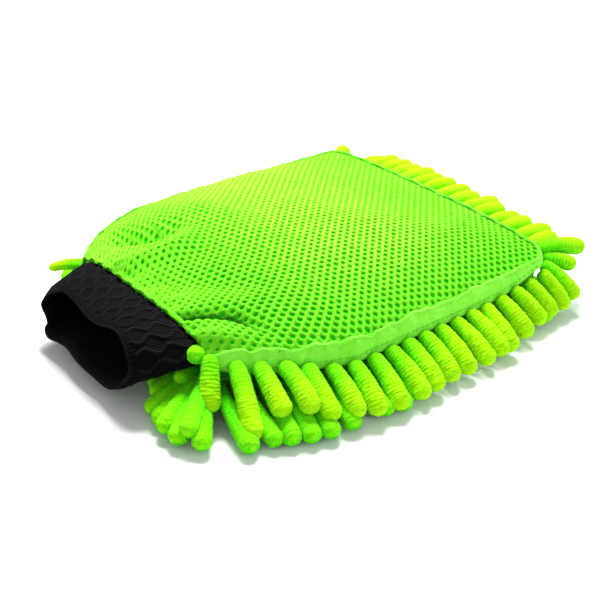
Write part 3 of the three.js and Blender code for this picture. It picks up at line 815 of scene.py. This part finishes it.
def build_corner_noodles():
    lies = {
        "front_corner_noodle_1": ([103, -84, 32.5], [132, -91, 27.0], 3.5),
        "front_corner_noodle_2": ([99, -90, 26], [111, -107, 8], 4.0),
        "back_corner_noodle": ([101, 88, 29], [119, 102, 31], 4.0),
    }
    for k, (name, (root, tip, rise)) in enumerate(lies.items()):
        add_noodles(name + "_chenille", [noodle_mesh(arc(root, tip, rise), 4.7, 250 + k)], name, [name])
    short = noodle_mesh(arc([103, -87, 28.0], [118, -98, 22.5], 2.0), 4.4, 255)
    # Painted shade: the short noodle is painted a little darker
    add_noodles("front_corner_short_noodle", [short], "front_corner_noodle_2", painted_shade=0.05)


def build_back_fringe():
    rng = np.random.default_rng(9)
    point, out, _ = path_at(np.linspace(TOTAL - 5, BACK_CORNER_U + 3, 20))
    for strip in range(4):
        parts = []
        for k in range(5):
            i = strip * 5 + k
            root = np.array([*(point[i, :2] + out[i] * 1.9), 19.5 + rng.uniform(-0.5, 0.5)])
            # The noodles nearest the cuff are tucked in behind the body
            tucked = float(smooth(7, 1, i))
            reach = 23 + rng.uniform(-2, 2) - 11 * tucked
            tip = np.array([*(root[:2] + out[i] * reach), 5 + rng.uniform(0, 3) * (1 - tucked)])
            tip[0] += rng.uniform(-4, 4) * (1 - tucked)
            if i == 0:
                root, tip = np.array([-98.0, 68.0, 24.0]), np.array([-115.5, 77.0, 24.0])
            parts.append(noodle_mesh(arc(root, tip, 3.0), 4.6, 400 + i, end_size=0.62 if i == 0 else 1.08))
        name = f"back_noodle_strip_{strip + 1}"
        add_noodles(name + "_chenille", parts, name, [name])


PALM_STRIP_PITCH, PALM_LINE_PITCH, PALM_NOODLE_PITCH = 28, 9.2, 24.5


def build_palm_noodles():
    rng = np.random.default_rng(12)
    for s in range(6):
        parts = []
        centre_y = (s - 2.5) * PALM_STRIP_PITCH
        for line in range(3):
            y = centre_y + (line - 1) * PALM_LINE_PITCH
            limit = abs(y) + 6
            x = -88.0 + 9.0 * (line % 2)
            while x < 88:
                if half_width(x, centre_y) > limit + 2:
                    z = 4.5 + rng.uniform(0, 0.6)
                    root = np.array([x, y, 13.0])
                    tip = np.array([x + 22 + rng.uniform(-1.5, 1.5), y + rng.uniform(-2, 2), z])
                    path = [root, np.array([x - 1, y, 3.0]), np.array([x + 9, y, z]), tip]
                    parts.append(noodle_mesh(path, 4.25, 500 + s * 40 + len(parts), rings=44, sides=14))
                x += PALM_NOODLE_PITCH
        name = f"palm_noodle_strip_{s + 1}"
        # Painted shade: the palm noodles are painted darker
        add_noodles(name + "_chenille", parts, "mitt_body", [name], painted_shade=0.15)


def build_cuff_noodles():
    """Lower noodles that fan out beside and under the cuff."""
    lies = [
        ([-99, -49, 26.0], [-107.5, -58.5, 30.0], 1.5),
        ([-98, -47, 14.0], [-112, -49, 13.5], 1.5),
        ([-98, -38, 11.0], [-122, -42, 6.5], 1.5),
        ([-97, -42, 10.0], [-130, -51, 5.5], 2.0),
        ([-96, -46, 10.0], [-131, -60, 4.6], 2.5),
        ([-95, -49, 12.0], [-133, -68, 5.5], 3.5),
        ([-97, -52, 12.0], [-132, -78, 4.6], 3.5),
        ([-98, -55, 16.0], [-128, -82, 9.0], 4.0),
        ([-102, -58, 13.0], [-125, -89, 4.6], 3.0),
        ([-98, -30, 9.5], [-118, -34, 4.6], 1.5),
        ([-98, -16, 9.5], [-119, -18, 4.6], 1.5),
        ([-98, 0, 9.5], [-118, 1, 4.6], 1.5),
        ([-98, 15, 9.5], [-119, 17, 4.6], 1.5),
        ([-98, 31, 9.5], [-118, 35, 4.6], 1.5),
        ([-97, 46, 9.5], [-117, 54, 4.6], 1.5),
    ]
    parts = [noodle_mesh(arc(r, t, up), 4.5, 700 + k) for k, (r, t, up) in enumerate(lies)]
    # Painted shade: the noodles beside and under the cuff are painted darker
    add_noodles("cuff_noodles_chenille", parts, "mitt_body", ["cuff_noodle_strip"], painted_shade=0.37)


# ---- Stitching ----


def build_topstitch():
    """Short raised stitches along the lower part of the bands, where the noodles are sewn on."""
    points, faces = [], []
    for _, _, u0, u1, seed in BANDS:
        u = np.arange(u0 + 3.0, u1 - 3.0, STITCH_PITCH)
        _, out, way = path_at(u)
        base = on_band(u, 0.66, seed)
        base[:, :2] += out * 0.25
        for i in range(len(u)):
            along, across = np.array([*way[i], 0.0]), np.array([*out[i], 0.0])
            n = len(points)
            for t, w in ((-0.5, 0.12), (-0.35, 0.34), (0.0, 0.42), (0.35, 0.34), (0.5, 0.12)):
                for k in range(6):
                    a = k * math.pi / 3
                    ring = (np.array([0, 0, math.cos(a)]) + across * math.sin(a)) * w
                    points.append(base[i] + along * t * STITCH_LENGTH + ring)
            faces += [tuple(quad) for quad in grid_faces(5, 6, wrap=True, start=n)]
            faces += [tuple(n + k for k in range(6)), tuple(n + 24 + k for k in reversed(range(6)))]
    thread = add_mesh("perimeter_stitches", points, faces, THREAD)
    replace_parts(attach(thread, "mitt_body"), "perimeter_topstitch")


# ---- Knitted cuff ----


# The free rim's outline, seen from the cuff's end, in even steps round it: (y, z).
RIM_OUTLINE = [
    (48, 22), (45, 28), (38, 33), (29, 37), (16, 36), (4, 35), (-9, 35), (-21, 37.5),
    (-31, 37.5), (-39, 32.5), (-43, 25), (-40, 17), (-33, 11), (-22, 8.5), (-10, 8.5), (2, 9.5),
    (14, 10.5), (25, 9.5), (34, 8.5), (40, 11), (39, 15), (41, 18.5),
]
CABLE_PITCH, CABLE_LENGTH = 6.6, 12.5
RIB_PITCH, WALE_PITCH = 2.1, 1.32


def rim_point(angle):
    """Smooth closed curve through the rim's outline; angle 0 is the back side."""
    pts = np.array(RIM_OUTLINE, float)
    n = len(pts)
    around = (np.asarray(angle, float) / (2 * math.pi) * n) % n
    i = around.astype(int)
    f = (around - i)[:, None]
    a, b, c, d = (pts[(i + k) % n] for k in (-1, 0, 1, 2))
    square, cube = 2 * a - 5 * b + 4 * c - d, 3 * b - a - 3 * c + d
    return 0.5 * (2 * b + (c - a) * f + square * f ** 2 + cube * f ** 3)


def cuff_ring(x, angle, inset):
    """Points of the cuff's wall at x and an angle round it, drawn in by inset."""
    t = np.clip((CUFF_X - x) / (CUFF_X - RIM_X), 0, 1)
    c, s = np.cos(angle), np.sin(angle)
    seam_y = (CUFF_HALF - 1.0) * c
    arch = np.maximum(0, 1 - np.abs(c) ** 2.6) ** 0.62
    seam_z = CUFF_MID_Z + (CUFF_Z - 1.2 - CUFF_MID_Z) * np.sign(s) * arch
    rim = rim_point(angle)
    ease = t ** 0.9
    y = lerp(seam_y, rim[:, 0], ease)
    z = lerp(seam_z, rim[:, 1], ease) + 1.6 * math.sin(math.pi * t) * np.abs(s)
    middle_y, middle_z = y.mean(), z.mean()
    out = np.stack([y - middle_y, (z - middle_z) * 2.5], -1)
    out /= np.linalg.norm(out, axis=1, keepdims=True)
    lean = 0.3 * (z - RIM_MID_Z) * t ** 2
    return x + lean + 0.5 * t * np.sin(angle * 7), y - out[:, 0] * inset, z - out[:, 1] * inset


def cuff_relief(x, arc_length):
    """Knitted pattern: lozenges of raised cable, and plain ribs near the rim."""
    run = CUFF_X - x
    k = arc_length / CABLE_PITCH
    nearest = np.floor(k + 0.5)
    sway = 0.42 * np.sin(2 * math.pi * run / CABLE_LENGTH + math.pi * nearest)
    edge = np.abs(k - nearest - sway * 0.6)
    cable = np.exp(-((edge / 0.17) ** 2))
    ribs = 0.5 + 0.5 * np.cos(2 * math.pi * arc_length / RIB_PITCH)
    plain = smooth(24.5, 26.5, run)
    return np.where(plain > 0.5, 0.45 * ribs, cable)


def build_cuff():
    sides = 420
    angle = np.linspace(0, 2 * math.pi, sides, endpoint=False)
    sections = []
    relief_all, wale_all = [], []
    # Outer wall, round the folded rim, and back along the inner wall
    xs_out = np.linspace(CUFF_X + 2.0, RIM_X, 110)
    xs_in = np.linspace(RIM_X + 0.6, CUFF_X - 4.0, 40)
    # Lengths round the middle of the cuff, eased so that an even number of cables fits
    ring = np.stack(cuff_ring(-118.0, angle, 0), -1)
    steps = np.linalg.norm(np.diff(np.vstack([ring, ring[:1]]), axis=0), axis=1)
    arcs = np.concatenate([[0], np.cumsum(steps)])
    total = arcs[-1]
    cables = round(total / CABLE_PITCH / 2) * 2
    arc_length = arcs[:-1] * (cables * CABLE_PITCH / total)
    wale = 0.5 + 0.5 * np.cos(2 * math.pi * arc_length / WALE_PITCH)
    for x in xs_out:
        edge = smooth(RIM_X + 3.0, RIM_X, x)
        px, py, pz = cuff_ring(x, angle, 1.1 * edge ** 2)
        # The relief also sets the colour: painted shade in the grooves, paler on the cables and along the
        # rim
        relief_and_painted_shade = np.maximum(cuff_relief(x, arc_length), 0.9 * smooth(RIM_X + 1.8, RIM_X + 0.6, x))
        base = np.stack([px, py, pz], -1)
        out = np.stack([np.zeros(sides), np.cos(angle) * 0.6, np.sin(angle)], -1)
        out /= np.linalg.norm(out, axis=1, keepdims=True)
        gather = 0.35 * smooth(CUFF_X - 9, CUFF_X, x) * np.sin(angle * 46)
        gather = gather - 0.7 * smooth(CUFF_X - 3, CUFF_X, x)
        sections.append(base + out * (1.05 * relief_and_painted_shade * (1 - edge) + gather)[:, None])
        relief_all.append(relief_and_painted_shade)
        wale_all.append(wale)
    for x in xs_in:
        px, py, pz = cuff_ring(x, angle, 2.2 + 1.6 * smooth(RIM_X, RIM_X + 3, x))
        sections.append(np.stack([px, py, pz], -1))
        # The inner wall gets no relief, so it is painted in the darkest shade
        relief_all.append(np.zeros(sides))
        wale_all.append(wale)
    place = np.stack(sections).reshape(-1, 3)
    cuff = add_mesh("cuff_knit", place, grid_faces(len(sections), sides, wrap=True), KNIT)
    paint(cuff, "relief_and_painted_shade", np.concatenate(relief_all))
    paint(cuff, "wale", np.concatenate(wale_all))
    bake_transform(cuff)
    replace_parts(cuff, "cuff_root_gather", "cuff_knit_outer", "cuff_knit_inner", "cuff_rim_fold")
    return cuff


def build_seam_roll():
    """The mesh fabric's gathered raw edge, rolled over the cuff's seam."""
    sides, turns = 900, 10
    angle = np.linspace(0, 2 * math.pi, sides, endpoint=False)
    v = np.cos(angle)
    rows = []
    _, y, z = cuff_ring(CUFF_X, angle, 0)
    gather = 0.5 + 0.5 * np.sin(angle * 58 + 2 * wobble(angle * 4, 71))
    size = 0.95 + 0.45 * gather
    for turn in np.linspace(0, 2 * math.pi, turns, endpoint=False):
        out = 0.8 + size * math.sin(turn)
        x = CUFF_X + 3.5 * v ** 2 + 0.6 + 1.5 * math.cos(turn)
        rows.append(np.stack([x, y * (1 + out / 60), z + out * np.sin(angle)], -1))
    place = np.stack(rows, 1).reshape(-1, 3)
    around = grid_faces(sides + 1, turns, wrap=True) % len(place)
    roll = add_mesh("cuff_seam_roll", place, around, NET)
    # Painted light and shade: paler where the roll bulges out, darker in the dips between the gathers
    paint(roll, "painted_crest_light", np.repeat(0.35 + 0.5 * gather, turns))
    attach(roll, "mitt_body")


# ---- Putting it together ----

net = build_net()
lining = build_lining()
floors = list(build_floor_layers())
bands = [build_band(*band) for band in BANDS]
build_front_noodles()
build_front_lower()
build_hidden_rows()
build_end_noodles()
build_corner_noodles()
build_back_fringe()
build_palm_noodles()
build_cuff_noodles()
build_topstitch()
cuff = build_cuff()
build_seam_roll()

# ---- Stage, light and camera ----


def build_stage():
    bpy.ops.mesh.primitive_plane_add(size=6, location=(0, 0, -0.0002))
    floor = bpy.context.object
    floor.name = "studio_floor"
    n = Nodes("floor_paper")
    tone = n.ramp(n.noise(3, 2), [(0.3, (0.86, 0.86, 0.86)), (0.7, (0.88, 0.88, 0.88))])
    n.join(tone, n.shader.inputs["Base Color"])
    n.shader.inputs["Roughness"].default_value = 0.9
    floor.data.materials.append(n.material)


def add_light(name, place, aim, size, power, colour=(1, 1, 1)):
    light = bpy.data.lights.new(name, "AREA")
    light.shape, light.size, light.energy, light.color = "DISK", size, power, colour
    obj = bpy.data.objects.new(name, light)
    obj.location = place
    obj.visible_camera = False
    obj.rotation_mode = "QUATERNION"
    obj.rotation_quaternion = (Vector(aim) - Vector(place)).to_track_quat("-Z", "Y")
    bpy.context.collection.objects.link(obj)


def build_camera(azimuth, elevation, distance, target):
    a, e = math.radians(azimuth), math.radians(elevation)
    back = Vector((math.sin(a) * math.cos(e), -math.cos(a) * math.cos(e), math.sin(e)))
    data = bpy.data.cameras.new("camera")
    data.lens, data.sensor_width = 60, 36
    data.clip_start, data.clip_end = 0.01, 20
    camera = bpy.data.objects.new("camera", data)
    camera.location = Vector(target) + back * distance
    camera.rotation_mode = "QUATERNION"
    camera.rotation_quaternion = (-back).to_track_quat("-Z", "Y")
    bpy.context.collection.objects.link(camera)
    bpy.context.scene.camera = camera


build_stage()
build_camera(-38.24, 29.0, 0.5696, (-0.0018, -0.0024, 0))
add_light("key", (0.42, 0.38, 1.05), (0, 0, 0.02), 0.5, 23)
add_light("fill", (-0.7, -0.8, 0.7), (0, 0, 0.02), 0.9, 1.2)
add_light("front", (0.45, -0.95, 0.4), (0.03, -0.08, 0.01), 0.5, 3.0)
add_light("overhead", (-0.03, 0.08, 0.28), (-0.01, 0.04, 0.04), 0.12, 1.1)

world = bpy.context.scene.world or bpy.data.worlds.new("studio")
bpy.context.scene.world = world
world.use_nodes = True
background = world.node_tree.nodes["Background"]
background.inputs["Color"].default_value = (1, 1, 1, 1)
background.inputs["Strength"].default_value = 0.48
bpy.context.scene.view_settings.view_transform = "Standard"
